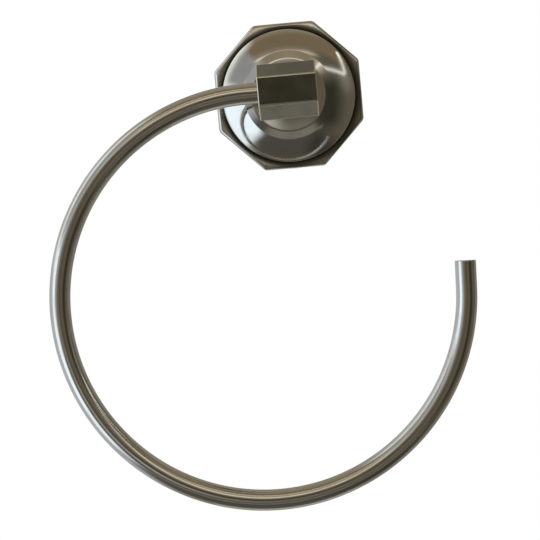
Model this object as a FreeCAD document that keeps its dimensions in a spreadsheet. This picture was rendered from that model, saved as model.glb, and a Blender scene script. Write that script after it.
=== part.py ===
import FreeCAD, Part
import math
import os
import Sketcher

# Towel ring: an open ring of bent rod in a hexagonal block, on a neck, a round dome and an octagonal base.
# Frame: the wall is the plane Y = 0, the ring faces -Y, +X is right and +Z is up.
# The origin is the centre of the base's back face. Heights are distances from the wall, in millimetres.

doc = FreeCAD.newDocument("towel_ring")
sizes = doc.addObject("Spreadsheet::Sheet", "sizes")

# Driving dimensions
dimensions = {
    # ring rod
    "ring_radius": 78.9,
    "rod_diameter": 8.3,
    "rod_straight": 5.0,
    "rod_insert": 13.0,
    "ring_end_angle": -2.2,
    "rod_tail": 10.5,
    "rod_end_break": 0.4,
    # hexagonal block
    "reach": 48.0,
    "block_length": 23.0,
    "block_flats": 19.0,
    "block_edge_break": 0.45,
    "rod_fit": 0.1,
    "bore_spare": 0.6,
    "bore_mouth_break": 0.35,
    # neck
    "neck_stem_radius": 5.2,
    "neck_foot_radius": 8.4,
    "neck_foot_height": 1.4,
    "neck_foot_break": 0.4,
    "neck_cove_radius": 2.6,
    "spigot_radius": 4.0,
    "spigot_length": 4.2,
    "spigot_fit": 0.05,
    "spigot_spare": 0.3,
    "neck_bore_depth": 12.0,
    # dome
    "rim_margin": 2.3,
    "rim_height": 9.0,
    "rim_lip": 0.5,
    "rim_round": 1.5,
    "band_radius": 42.0,
    "crease_radius": 18.0,
    "shoulder_radius": 15.2,
    "shoulder_tilt": 21.5,
    "crown_radius": 14.1,
    "crown_tilt": 9.0,
    "dome_wall": 1.4,
    "seat_margin": 0.6,
    # octagonal base
    "base_flats": 58.6,
    "base_height": 10.0,
    "base_corner_radius": 2.2,
    "crown_bend": 10.0,
    "crown_flat": 0.4,
    "edge_round": 1.2,
    "well_gap": 0.55,
    "well_depth": 1.8,
    "floor_wall": 1.6,
    "side_wall": 4.1,
    "turret_height": 11.6,
    "turret_setback": 8.5,
    "turret_wall": 2.0,
    "turret_foot": 1.2,
    "turret_break": 1.0,
    "hub_margin": 0.5,
    "hook_width": 14.0,
    "hook_setback": 0.6,
    # clamp screw and lock washer
    "clamp_radius": 3.0,
    "clamp_tip_spare": 2.1,
    "clamp_head_flats": 10.0,
    "clamp_head_height": 4.0,
    "clamp_hole_fit": 0.3,
    "thread_fit": 0.05,
    "washer_radius": 5.6,
    "washer_thickness": 1.5,
    "washer_slit": 0.8,
    "washer_bore_fit": 0.1,
    "screw_break": 0.5,
    # wall bracket
    "bracket_width": 24.0,
    "bracket_clearance": 4.2,
    "bracket_thickness": 2.0,
    "bracket_tab": 4.4,
    "bracket_bend": 0.8,
    "bracket_corner": 1.5,
    "wall_screw_inset": 9.0,
    "wall_screw_hole": 2.4,
    # grub screws
    "base_grub_radius": 2.0,
    "base_grub_height": 2.8,
    "base_grub_sunk": 0.4,
    "rod_grub_radius": 1.5,
    "rod_grub_sunk": 0.3,
    "rod_grub_offset": 4.6,
    "grub_point": 0.5,
    "grub_hole_overrun": 1.0,
    "base_grub_key": 2.0,
    "rod_grub_key": 1.5,
    "grub_key_depth": 1.8,
    "contact_fit": 0.05,
}
for row, (name, number) in enumerate(dimensions.items(), start=1):
    sizes.set(f"A{row}", name)
    sizes.set(f"B{row}", str(number))
    sizes.setAlias(f"B{row}", name)
doc.recompute()


def worth(text):
    return float(sizes.evalExpression(text))


def origin_plane(body, role):
    return next(f for f in body.Origin.OriginFeatures if f.Role == role)


def new_body(label):
    body = doc.addObject("PartDesign::Body", label)
    body.Label = label
    return body


def new_sketch(body, name, plane, lift="0"):
    sketch = body.newObject("Sketcher::SketchObject", name)
    sketch.AttachmentSupport = (origin_plane(body, plane), "")
    sketch.MapMode = "FlatFace"
    sketch.setExpression("AttachmentOffset.Base.z", lift)
    return sketch


def bind(sketch, kind, value, *where):
    index = sketch.addConstraint(Sketcher.Constraint(kind, *where, worth(value)))
    sketch.setExpression(f"Constraints[{index}]", value)


def pin_point(sketch, geometry, end, x, y):
    bind(sketch, "DistanceX", x, -1, 1, geometry, end)
    bind(sketch, "DistanceY", y, -1, 1, geometry, end)


# A round hole or disc in a sketch
def add_circle(sketch, radius, x="0", y="0"):
    centre = FreeCAD.Vector(worth(x), worth(y), 0)
    index = sketch.addGeometry(Part.Circle(centre, FreeCAD.Vector(0, 0, 1), worth(radius)), False)
    pin_point(sketch, index, 3, x, y)
    bind(sketch, "Radius", radius, index)


# The centre of an arc from one point to the next; side +1 puts it on the left of the way, -1 on the right
def arc_centre(first, last, radius, side):
    chord = last - first
    rise = math.sqrt(max(radius * radius - chord.Length ** 2 / 4, 0))
    left = FreeCAD.Vector(-chord.y, chord.x, 0).normalize()
    return (first + last) / 2 + left * rise * side


# A closed outline: each entry is (x, y) of a corner, and (radius, side) of the arc that leaves it, or None
def add_outline(sketch, corners):
    points = [FreeCAD.Vector(worth(x), worth(y), 0) for x, y, _ in corners]
    pieces = []
    for index, (x, y, bend) in enumerate(corners):
        first = points[index]
        last = points[(index + 1) % len(points)]
        if bend is None:
            pieces.append((sketch.addGeometry(Part.LineSegment(first, last), False), 1, 2))
            continue
        radius, side = bend
        centre = arc_centre(first, last, worth(radius), side)
        circle = Part.Circle(centre, FreeCAD.Vector(0, 0, 1), worth(radius))
        turn = [math.atan2(p.y - centre.y, p.x - centre.x) for p in (first, last)]
        if side > 0:
            pieces.append((sketch.addGeometry(Part.ArcOfCircle(circle, turn[0], turn[1]), False), 1, 2))
        else:
            pieces.append((sketch.addGeometry(Part.ArcOfCircle(circle, turn[1], turn[0]), False), 2, 1))
    for index, (x, y, bend) in enumerate(corners):
        geometry, start, end = pieces[index]
        follower, follower_start, _ = pieces[(index + 1) % len(pieces)]
        pin_point(sketch, geometry, start, x, y)
        sketch.addConstraint(Sketcher.Constraint("Coincident", geometry, end, follower, follower_start))
        if bend is not None:
            bind(sketch, "Radius", bend[0], geometry)


# An eight-sided outline with round corners, or the circle that matches it arc for arc
def add_octagon(sketch, apothem, corner, circle_radius=None):
    corners = []
    for side in range(8):
        middle = 45 * side
        for sign in (-1, 1):
            across = f"({apothem} - {corner}) * tan(22.5) * {sign}"
            along = apothem
            if circle_radius is not None:
                reach = f"atan2({across}; {along})"
                along = f"({circle_radius}) * cos({reach})"
                across = f"({circle_radius}) * sin({reach})"
            x = f"({along}) * cos({middle}) - ({across}) * sin({middle})"
            y = f"({along}) * sin({middle}) + ({across}) * cos({middle})"
            if circle_radius is not None:
                bend = (circle_radius, 1)
            elif sign > 0:
                bend = (corner, 1)
            else:
                bend = None
            corners.append((x, y, bend))
    add_outline(sketch, corners)


def revolve(body, name, kind, sketch, axis="V_Axis"):
    feature = body.newObject(kind, name)
    feature.Profile = sketch
    feature.ReferenceAxis = (sketch, [axis])
    feature.Angle = 360
    return feature


def pad(body, name, sketch, length, symmetric=False, reverse=False):
    feature = body.newObject("PartDesign::Pad", name)
    feature.Profile = sketch
    feature.setExpression("Length", length)
    feature.Midplane = symmetric
    feature.Reversed = reverse
    return feature


def pocket(body, name, sketch, length, symmetric=False, reverse=False):
    before = body_volume(body)
    feature = body.newObject("PartDesign::Pocket", name)
    feature.Profile = sketch
    feature.setExpression("Length", length)
    feature.Midplane = symmetric
    feature.Reversed = reverse
    doc.recompute()
    if body_volume(body) >= before - 1e-6:
        raise RuntimeError(f"{body.Label}: {name} cuts nothing")
    return feature


def body_volume(body):
    doc.recompute()
    return body.Shape.Volume


def chosen_edges(feature, test):
    return [f"Edge{i}" for i, edge in enumerate(feature.Shape.Edges, start=1) if test(edge)]


def soften(body, name, kind, base, test, size):
    doc.recompute()
    names = chosen_edges(base, test)
    if not names:
        raise RuntimeError(f"{body.Label}: {name} finds no edge")
    feature = body.newObject(kind, name)
    feature.Base = (base, names)
    feature.setExpression("Size" if kind.endswith("Chamfer") else "Radius", size)
    doc.recompute()
    return feature


# Radii and heights that several pieces share, each worked out from the sizes above
rim_radius = "(sizes.base_flats / 2 - sizes.rim_margin)"
recess_radius = "(sizes.base_flats / 2 - sizes.side_wall)"
turret_radius = f"({rim_radius} - sizes.turret_setback)"
bracket_reach = f"({recess_radius} - sizes.bracket_clearance)"
block_back = "(sizes.reach - sizes.block_flats / 2)"
rod_radius = "(sizes.rod_diameter / 2)"
bore_radius = f"({rod_radius} + sizes.rod_fit)"
skirt_tilt = f"asin(({rim_radius} - sizes.rim_round) / (sizes.band_radius - sizes.rim_round))"
band_tilt = "asin(sizes.crease_radius / sizes.band_radius)"
skirt_radius = f"(sizes.band_radius * sin({skirt_tilt}))"
skirt_height = f"(sizes.rim_height + sizes.rim_lip + sizes.rim_round * cos({skirt_tilt}))"
crease_height = f"({skirt_height} + sizes.band_radius * (cos({band_tilt}) - cos({skirt_tilt})))"
cone_width = "(sizes.crease_radius - sizes.shoulder_radius)"
shoulder_height = f"({crease_height} + {cone_width} * tan(sizes.shoulder_tilt))"
shoulder_width = "(sizes.shoulder_radius - sizes.crown_radius)"
shoulder_bend = f"({shoulder_width} / (sin(sizes.shoulder_tilt) - sin(sizes.crown_tilt)))"
crown_height = f"({shoulder_height} + {shoulder_bend} * (cos(sizes.crown_tilt) - cos(sizes.shoulder_tilt)))"
seat_radius = "(sizes.neck_foot_radius + sizes.seat_margin)"
seat_height = f"({crown_height} + (sizes.crown_radius - {seat_radius}) * tan(sizes.crown_tilt))"
hub_height = f"({seat_height} - sizes.dome_wall)"
clamp_hole = "(sizes.clamp_radius + sizes.clamp_hole_fit)"
turret_floor = "(sizes.turret_height - sizes.turret_wall)"
head_height = f"({turret_floor} - sizes.washer_thickness)"
well_floor = "(sizes.base_height - sizes.well_depth)"
recess_depth = f"({well_floor} - sizes.floor_wall)"


# The edges where the crowned face meets the plate's sides: at the outline, and in its front half
def is_face_edge(edge):
    middle = edge.valueAt((edge.FirstParameter + edge.LastParameter) / 2)
    points = [middle] + [vertex.Point for vertex in edge.Vertexes]
    outline = worth("sizes.base_flats / 2") - 1e-3
    return all(math.hypot(p.x, p.z) > outline and p.y < -worth("sizes.base_height / 2") for p in points)


# Octagonal base: a cast plate with a crowned face, a round well, a hollow back and a turret
base = new_body("octagon_base")
plate_outline = new_sketch(base, "PlateOutline", "XZ_Plane")
add_octagon(plate_outline, "sizes.base_flats / 2", "sizes.base_corner_radius")
pad(base, "Plate", plate_outline, "sizes.base_height")
face_outline = new_sketch(base, "FaceOutline", "XY_Plane")
face_start = f"({rim_radius} + sizes.crown_flat)"
face_end = "(sizes.base_flats / 2 / cos(22.5))"
face_drop = f"(sizes.crown_bend - sqrt(sizes.crown_bend ^ 2 - ({face_end} - {face_start}) ^ 2))"
add_outline(face_outline, [
    (face_start, "-sizes.base_height", ("sizes.crown_bend", 1)),
    (face_end, f"-(sizes.base_height - {face_drop})", None),
    (face_end, "-(sizes.base_height + 1)", None),
    (face_start, "-(sizes.base_height + 1)", None),
])
face = revolve(base, "Face", "PartDesign::Groove", face_outline)
doc.recompute()
soften(base, "EdgeRound", "PartDesign::Fillet", face, is_face_edge, "sizes.edge_round")
well_outline = new_sketch(base, "WellOutline", "XZ_Plane", "sizes.base_height")
add_circle(well_outline, f"({rim_radius} + sizes.well_gap)")
pocket(base, "Well", well_outline, "sizes.well_depth")

turret_outline = new_sketch(base, "TurretOutline", "XY_Plane")
hub_radius = f"({seat_radius} - sizes.hub_margin)"
add_outline(turret_outline, [
    ("0", f"-{recess_depth}", None),
    (f"{turret_radius} + sizes.turret_foot", f"-{recess_depth}", None),
    (f"{turret_radius} + sizes.turret_foot", f"-{well_floor}", None),
    (turret_radius, f"-({well_floor} + sizes.turret_foot)", None),
    (turret_radius, "-(sizes.turret_height - sizes.turret_break)", None),
    (f"{turret_radius} - sizes.turret_break", "-sizes.turret_height", None),
    (hub_radius, "-sizes.turret_height", None),
    (hub_radius, f"-{hub_height}", None),
    ("0", f"-{hub_height}", None),
])
revolve(base, "Turret", "PartDesign::Revolution", turret_outline)

recess_outline = new_sketch(base, "RecessOutline", "XY_Plane")
turret_bore = f"({turret_radius} - sizes.turret_wall)"
add_outline(recess_outline, [
    ("0", "0", None),
    (recess_radius, "0", None),
    (recess_radius, f"-{recess_depth}", None),
    (turret_bore, f"-{recess_depth}", None),
    (turret_bore, f"-{turret_floor}", None),
    ("0", f"-{turret_floor}", None),
])
revolve(base, "Recess", "PartDesign::Groove", recess_outline)

hook_outline = new_sketch(base, "HookOutline", "XZ_Plane", "sizes.hook_setback")
hook_low = f"{bracket_reach} + sizes.contact_fit"
hook_top = "sizes.base_flats / 2 - sizes.side_wall / 2"
add_outline(hook_outline, [
    ("-sizes.hook_width / 2", hook_low, None),
    ("sizes.hook_width / 2", hook_low, None),
    ("sizes.hook_width / 2", hook_top, None),
    ("-sizes.hook_width / 2", hook_top, None),
])
pad(base, "Hook", hook_outline, f"{recess_depth} - sizes.hook_setback")

clamp_hole_outline = new_sketch(base, "ClampHoleOutline", "XZ_Plane", hub_height)
add_circle(clamp_hole_outline, clamp_hole)
pocket(base, "ClampHole", clamp_hole_outline, hub_height)

base_grub_hole = "(sizes.base_grub_radius + sizes.thread_fit)"
grub_hole_outline = new_sketch(base, "GrubHoleOutline", "XY_Plane", "-sizes.base_flats / 2")
add_circle(grub_hole_outline, base_grub_hole, "0", "-sizes.base_grub_height")
pocket(base, "GrubHole", grub_hole_outline, "sizes.side_wall + sizes.grub_hole_overrun", reverse=True)

# Dome: a spun shell with a rolled rim, a convex band, a cone, a rounded shoulder and a gently sloping crown
dome = new_body("dome_flange")
dome_outline = new_sketch(dome, "DomeOutline", "XY_Plane")


# A point on the inside of the wall, square to the outside where that has the given tilt
def inside(radius, height, tilt):
    return (f"{radius} - sizes.dome_wall * sin({tilt})", f"-({height} - sizes.dome_wall * cos({tilt}))", None)


add_outline(dome_outline, [
    (rim_radius, "-sizes.rim_height", None),
    (rim_radius, "-(sizes.rim_height + sizes.rim_lip)", ("sizes.rim_round", -1)),
    (skirt_radius, f"-{skirt_height}", ("sizes.band_radius", -1)),
    ("sizes.crease_radius", f"-{crease_height}", None),
    ("sizes.shoulder_radius", f"-{shoulder_height}", (shoulder_bend, -1)),
    ("sizes.crown_radius", f"-{crown_height}", None),
    (seat_radius, f"-{seat_height}", None),
    (clamp_hole, f"-{seat_height}", None),
    (clamp_hole, f"-{hub_height}", None),
    (f"{seat_radius} - sizes.dome_wall * tan(sizes.crown_tilt / 2)", f"-{hub_height}", None),
    inside("sizes.crown_radius", crown_height, "sizes.crown_tilt"),
    inside("sizes.shoulder_radius", shoulder_height, "sizes.shoulder_tilt"),
    inside("sizes.crease_radius", crease_height, band_tilt),
    inside(skirt_radius, skirt_height, skirt_tilt),
    (inside(skirt_radius, skirt_height, skirt_tilt)[0], "-sizes.rim_height", None),
])
revolve(dome, "Shell", "PartDesign::Revolution", dome_outline)

# Neck: a turned post with a flared foot on the dome and a spigot in the block
neck = new_body("neck_post")
neck_outline = new_sketch(neck, "NeckOutline", "XY_Plane")
neck_bore = "(sizes.clamp_radius + sizes.thread_fit)"
foot_top = f"({seat_height} + sizes.neck_foot_height)"
spigot_top = f"({block_back} + sizes.spigot_length)"
add_outline(neck_outline, [
    (neck_bore, f"-{seat_height}", None),
    ("sizes.neck_foot_radius", f"-{seat_height}", None),
    ("sizes.neck_foot_radius", f"-({foot_top} - sizes.neck_foot_break)", None),
    ("sizes.neck_foot_radius - sizes.neck_foot_break", f"-{foot_top}", None),
    ("sizes.neck_stem_radius + sizes.neck_cove_radius", f"-{foot_top}", ("sizes.neck_cove_radius", 1)),
    ("sizes.neck_stem_radius", f"-({foot_top} + sizes.neck_cove_radius)", None),
    ("sizes.neck_stem_radius", f"-{block_back}", None),
    ("sizes.spigot_radius", f"-{block_back}", None),
    ("sizes.spigot_radius", f"-({spigot_top} - sizes.screw_break)", None),
    ("sizes.spigot_radius - sizes.screw_break", f"-{spigot_top}", None),
    ("0", f"-{spigot_top}", None),
    ("0", f"-({seat_height} + sizes.neck_bore_depth + {neck_bore} * tan(30))", None),
    (neck_bore, f"-({seat_height} + sizes.neck_bore_depth)", None),
])
revolve(neck, "Post", "PartDesign::Revolution", neck_outline)

# Block: a length of hexagonal bar, flat side to the front, bored for the rod and socketed for the neck
block = new_body("hex_block")
block_outline = new_sketch(block, "BlockOutline", "YZ_Plane")
block_corner = "(sizes.block_flats / sqrt(3))"
add_outline(block_outline, [
    (f"-sizes.reach + {block_corner} * cos({angle})", f"{block_corner} * sin({angle})", None)
    for angle in range(30, 390, 60)
])
bar = pad(block, "Bar", block_outline, "sizes.block_length", symmetric=True)
soften(block, "EdgeBreak", "PartDesign::Chamfer", bar, lambda edge: True, "sizes.block_edge_break")
bore_outline = new_sketch(block, "BoreOutline", "YZ_Plane", "-sizes.block_length / 2")
add_circle(bore_outline, bore_radius, "-sizes.reach", "0")
bore = pocket(block, "RodBore", bore_outline, "sizes.rod_insert + sizes.bore_spare", reverse=True)
left_face = -worth("sizes.block_length / 2")
soften(block, "BoreMouth", "PartDesign::Chamfer", bore,
       lambda edge: len(edge.Vertexes) == 1 and abs(edge.Vertexes[0].X - left_face) < 1e-6,
       "sizes.bore_mouth_break")
socket_outline = new_sketch(block, "SocketOutline", "XZ_Plane", block_back)
add_circle(socket_outline, "sizes.spigot_radius + sizes.spigot_fit")
pocket(block, "NeckSocket", socket_outline, "sizes.spigot_length + sizes.spigot_spare", reverse=True)
lower_back_turn = 120
rod_grub_outline = new_sketch(block, "RodGrubOutline", "XZ_Plane", "sizes.reach")
rod_grub_outline.AttachmentOffset = FreeCAD.Placement(
    FreeCAD.Vector(0, 0, worth("sizes.reach")), FreeCAD.Rotation(FreeCAD.Vector(1, 0, 0), lower_back_turn))
rod_grub_x = "(sizes.rod_grub_offset - sizes.block_length / 2)"
add_circle(rod_grub_outline, "sizes.rod_grub_radius + sizes.thread_fit", rod_grub_x, "0")
pocket(block, "RodGrubHole", rod_grub_outline, "sizes.block_flats / 2 + 1", reverse=True)

# Ring: one round rod, straight out of the block, bent round, and straight again before its free end
ring = new_body("ring_rod")
rod_end_x = "(sizes.rod_insert - sizes.block_length / 2)"
bend_start_x = "(-sizes.block_length / 2 - sizes.rod_straight)"
rod_section = new_sketch(ring, "RodSection", "YZ_Plane", rod_end_x)
add_circle(rod_section, rod_radius, "-sizes.reach", "0")
rod_path = new_sketch(ring, "RodPath", "XZ_Plane", "sizes.reach")
run = rod_path.addGeometry(Part.LineSegment(
    FreeCAD.Vector(worth(rod_end_x), 0, 0), FreeCAD.Vector(worth(bend_start_x), 0, 0)), False)
ring_centre = FreeCAD.Vector(worth(bend_start_x), -worth("sizes.ring_radius"), 0)
ring_circle = Part.Circle(ring_centre, FreeCAD.Vector(0, 0, 1), worth("sizes.ring_radius"))
bend = rod_path.addGeometry(Part.ArcOfCircle(
    ring_circle, math.radians(90), math.radians(360 + worth("sizes.ring_end_angle"))), False)
pin_point(rod_path, run, 1, rod_end_x, "0")
pin_point(rod_path, run, 2, bend_start_x, "0")
rod_path.addConstraint(Sketcher.Constraint("Coincident", run, 2, bend, 1))
pin_point(rod_path, bend, 3, bend_start_x, "-sizes.ring_radius")
tail_start_x = f"({bend_start_x} + sizes.ring_radius * cos(sizes.ring_end_angle))"
tail_start_z = "(sizes.ring_radius * sin(sizes.ring_end_angle) - sizes.ring_radius)"
tail_end_x = f"({tail_start_x} - sizes.rod_tail * sin(sizes.ring_end_angle))"
tail_end_z = f"({tail_start_z} + sizes.rod_tail * cos(sizes.ring_end_angle))"
tail = rod_path.addGeometry(Part.LineSegment(
    FreeCAD.Vector(worth(tail_start_x), worth(tail_start_z), 0),
    FreeCAD.Vector(worth(tail_end_x), worth(tail_end_z), 0)), False)
rod_path.addConstraint(Sketcher.Constraint("Coincident", bend, 2, tail, 1))
bind(rod_path, "DistanceY", tail_start_z, -1, 1, tail, 1)
pin_point(rod_path, tail, 2, tail_end_x, tail_end_z)
rod = ring.newObject("PartDesign::AdditivePipe", "Rod")
rod.Profile = rod_section
rod.Spine = rod_path
doc.recompute()
soften(ring, "EndBreak", "PartDesign::Chamfer", rod,
       lambda edge: len(edge.Vertexes) == 1 and edge.Length > 0.9 * math.pi * worth("sizes.rod_diameter"),
       "sizes.rod_end_break")


# A grub screw: a short threaded pin with a flat dog point and a hexagonal key socket
def grub_screw(label, radius, length, key):
    screw = new_body(label)
    outline = new_sketch(screw, "Outline", "XY_Plane")
    add_circle(outline, radius)
    stem = pad(screw, "Stem", outline, length)
    soften(screw, "Point", "PartDesign::Chamfer", stem,
           lambda edge: all(abs(v.Z) < 1e-6 for v in edge.Vertexes), "sizes.grub_point")
    key_outline = new_sketch(screw, "KeyOutline", "XY_Plane", length)
    corner = f"({key} / sqrt(3))"
    add_outline(key_outline, [
        (f"{corner} * cos({angle})", f"{corner} * sin({angle})", None) for angle in range(0, 360, 60)
    ])
    pocket(screw, "Key", key_outline, "sizes.grub_key_depth")
    return screw


rod_grub_start = f"({rod_radius} + sizes.contact_fit)"
rod_grub = grub_screw("rod_grub_screw", "sizes.rod_grub_radius",
                      f"sizes.block_flats / 2 - sizes.rod_grub_sunk - {rod_grub_start}", "sizes.rod_grub_key")
rod_grub.Placement = FreeCAD.Placement(FreeCAD.Vector(), FreeCAD.Rotation(FreeCAD.Vector(1, 0, 0), -150))
rod_grub.setExpression("Placement.Base.x", rod_grub_x)
rod_grub.setExpression("Placement.Base.y", f"-sizes.reach + {rod_grub_start} * sin(30)")
rod_grub.setExpression("Placement.Base.z", f"-{rod_grub_start} * cos(30)")

base_grub_start = f"({bracket_reach} + sizes.contact_fit)"
base_grub_length = f"sizes.base_flats / 2 - sizes.base_grub_sunk - {base_grub_start}"
base_grub = grub_screw("bracket_grub_screw", "sizes.base_grub_radius", base_grub_length,
                       "sizes.base_grub_key")
base_grub.Placement = FreeCAD.Placement(FreeCAD.Vector(), FreeCAD.Rotation(FreeCAD.Vector(1, 0, 0), 180))
base_grub.setExpression("Placement.Base.y", "-sizes.base_grub_height")
base_grub.setExpression("Placement.Base.z", f"-{base_grub_start}")

# Clamp screw: from behind through the turret, the dome and into the neck
clamp = new_body("clamp_screw")
head_outline = new_sketch(clamp, "HeadOutline", "XZ_Plane", f"{head_height} - sizes.clamp_head_height")
head_corner = "(sizes.clamp_head_flats / sqrt(3))"
add_outline(head_outline, [
    (f"{head_corner} * cos({angle})", f"{head_corner} * sin({angle})", None) for angle in range(0, 360, 60)
])
pad(clamp, "Head", head_outline, "sizes.clamp_head_height")
shank_outline = new_sketch(clamp, "ShankOutline", "XZ_Plane", head_height)
add_circle(shank_outline, "sizes.clamp_radius")
clamp_tip = f"({seat_height} + sizes.neck_bore_depth - sizes.clamp_tip_spare)"
shank = pad(clamp, "Shank", shank_outline, f"{clamp_tip} - {head_height}")
doc.recompute()
tip_plane = -worth(clamp_tip)
soften(clamp, "Tip", "PartDesign::Chamfer", shank,
       lambda edge: all(abs(v.Y - tip_plane) < 1e-6 for v in edge.Vertexes), "sizes.screw_break")

# Lock washer: a split ring, flattened under the clamp screw's head
washer = new_body("lock_washer")
washer_outline = new_sketch(washer, "WasherOutline", "XZ_Plane", head_height)
add_circle(washer_outline, "sizes.washer_radius")
add_circle(washer_outline, "sizes.clamp_radius + sizes.washer_bore_fit")
pad(washer, "Washer", washer_outline, "sizes.washer_thickness")
slit_outline = new_sketch(washer, "SlitOutline", "YZ_Plane")
add_outline(slit_outline, [
    (f"-{head_height}", "-sizes.washer_slit", None),
    (f"-{head_height}", "0", None),
    (f"-{turret_floor}", "sizes.washer_slit", None),
    (f"-{turret_floor}", "0", None),
])
pocket(washer, "Slit", slit_outline, "sizes.washer_radius + 1", reverse=True)

# Wall bracket: pressed strip with a tab at the top and the bottom and two holes for the wall screws
bracket = new_body("wall_bracket")
bracket_outline = new_sketch(bracket, "BracketOutline", "YZ_Plane")
half = bracket_reach
plate_back = "sizes.bracket_thickness"
inner_bend = "sizes.bracket_bend"
outer_bend = "(sizes.bracket_bend + sizes.bracket_thickness)"
add_outline(bracket_outline, [
    ("0", f"-({half} - {outer_bend})", None),
    ("0", f"{half} - {outer_bend}", (outer_bend, 1)),
    (f"-{outer_bend}", half, None),
    ("-sizes.bracket_tab", half, None),
    ("-sizes.bracket_tab", f"{half} - {plate_back}", None),
    (f"-{outer_bend}", f"{half} - {plate_back}", (inner_bend, -1)),
    (f"-{plate_back}", f"{half} - {outer_bend}", None),
    (f"-{plate_back}", f"-({half} - {outer_bend})", (inner_bend, -1)),
    (f"-{outer_bend}", f"-({half} - {plate_back})", None),
    ("-sizes.bracket_tab", f"-({half} - {plate_back})", None),
    ("-sizes.bracket_tab", f"-{half}", None),
    (f"-{outer_bend}", f"-{half}", (outer_bend, 1)),
])
strip = pad(bracket, "Strip", bracket_outline, "sizes.bracket_width", symmetric=True)
doc.recompute()
tab_edge = -worth("sizes.bracket_tab")


def is_tab_corner(edge):
    low, high = edge.Vertexes[0].Point, edge.Vertexes[-1].Point
    upright = abs(low.x - high.x) < 1e-6 and abs(low.z - high.z) > 1
    return upright and abs(low.y - tab_edge) < 1e-6 and abs(high.y - tab_edge) < 1e-6


soften(bracket, "TabCorners", "PartDesign::Fillet", strip, is_tab_corner, "sizes.bracket_corner")
screw_holes = new_sketch(bracket, "ScrewHoles", "XZ_Plane", "sizes.bracket_thickness")
add_circle(screw_holes, "sizes.wall_screw_hole", "0", f"{bracket_reach} - sizes.wall_screw_inset")
add_circle(screw_holes, "sizes.wall_screw_hole", "0", f"sizes.wall_screw_inset - {bracket_reach}")
pocket(bracket, "WallScrewHoles", screw_holes, "sizes.bracket_thickness")

# Check every object and write one file for each piece
doc.recompute()
for item in doc.Objects:
    if "Invalid" in item.State or "Error" in item.State:
        raise RuntimeError(f"{item.Name} failed: {item.State}")
os.makedirs("parts", exist_ok=True)
for piece in [base, dome, neck, block, ring, rod_grub, base_grub, clamp, washer, bracket]:
    shape = piece.Shape
    if shape.isNull() or not shape.isValid() or len(shape.Solids) != 1:
        raise RuntimeError(f"{piece.Label} has no sound solid")
    shape.exportStep(f"parts/{piece.Label}.step")
    print(piece.Label, round(shape.Volume, 2), shape.BoundBox)
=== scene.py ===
import bmesh
import bpy
import math
from mathutils import Matrix, Vector


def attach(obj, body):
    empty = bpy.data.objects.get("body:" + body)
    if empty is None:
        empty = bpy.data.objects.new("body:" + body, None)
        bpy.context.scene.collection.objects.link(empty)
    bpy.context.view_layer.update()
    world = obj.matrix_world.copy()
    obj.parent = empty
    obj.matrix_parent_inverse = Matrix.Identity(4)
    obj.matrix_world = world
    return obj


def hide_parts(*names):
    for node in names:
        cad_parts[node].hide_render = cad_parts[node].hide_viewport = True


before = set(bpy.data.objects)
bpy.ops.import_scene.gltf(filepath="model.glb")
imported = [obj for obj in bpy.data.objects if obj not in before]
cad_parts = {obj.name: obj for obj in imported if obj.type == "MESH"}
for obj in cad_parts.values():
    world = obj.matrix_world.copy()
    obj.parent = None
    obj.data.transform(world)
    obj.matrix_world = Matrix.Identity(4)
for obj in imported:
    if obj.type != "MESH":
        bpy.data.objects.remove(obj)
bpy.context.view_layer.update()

# Towel ring: an open ring of bent rod in a hexagonal block, on a neck, a round dome and an octagonal base.
# The wall is the plane y = 0, the ring faces -y, +x is right and +z is up.
# The dictionaries hold millimetres and degrees, and a height in them is a distance from the wall.
mm = 0.001
slack = 0.01  # two places closer than this count as the same
weldGap = 0.002  # doubled vertices closer than this are merged
overrun = 1.0  # how far a cutter goes past the surface that it cuts
shared = {  # sizes that more than one piece takes
    "reach": 48.0,
    "blockFlats": 19.0,
    "rodDiameter": 8.3,
    "rodInsert": 13.0,
    "spigotRadius": 4.0,
    "spigotLength": 4.2,
    "rimRadius": 27.0,
    "clampHole": 3.3,
}
print("frame loaded,", len(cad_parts), "nodes")


# Modelling helpers
def startPiece(name, addPrimitive, **options):
    if bpy.context.mode != "OBJECT":
        bpy.ops.object.mode_set(mode="OBJECT")
    bpy.ops.object.select_all(action="DESELECT")
    addPrimitive(**options)
    piece = bpy.context.active_object
    piece.name = piece.data.name = name
    bpy.ops.object.transform_apply(location=True, rotation=True, scale=True)
    return piece


def selectParts(kind, test):  # kind is verts, edges or faces of the mesh in edit mode
    mesh = bmesh.from_edit_mesh(bpy.context.active_object.data)
    bpy.ops.mesh.select_all(action="DESELECT")
    for part in getattr(mesh, kind):
        if test(part):
            part.select_set(True)
    mesh.select_flush_mode()
    bmesh.update_edit_mesh(bpy.context.active_object.data)


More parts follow.
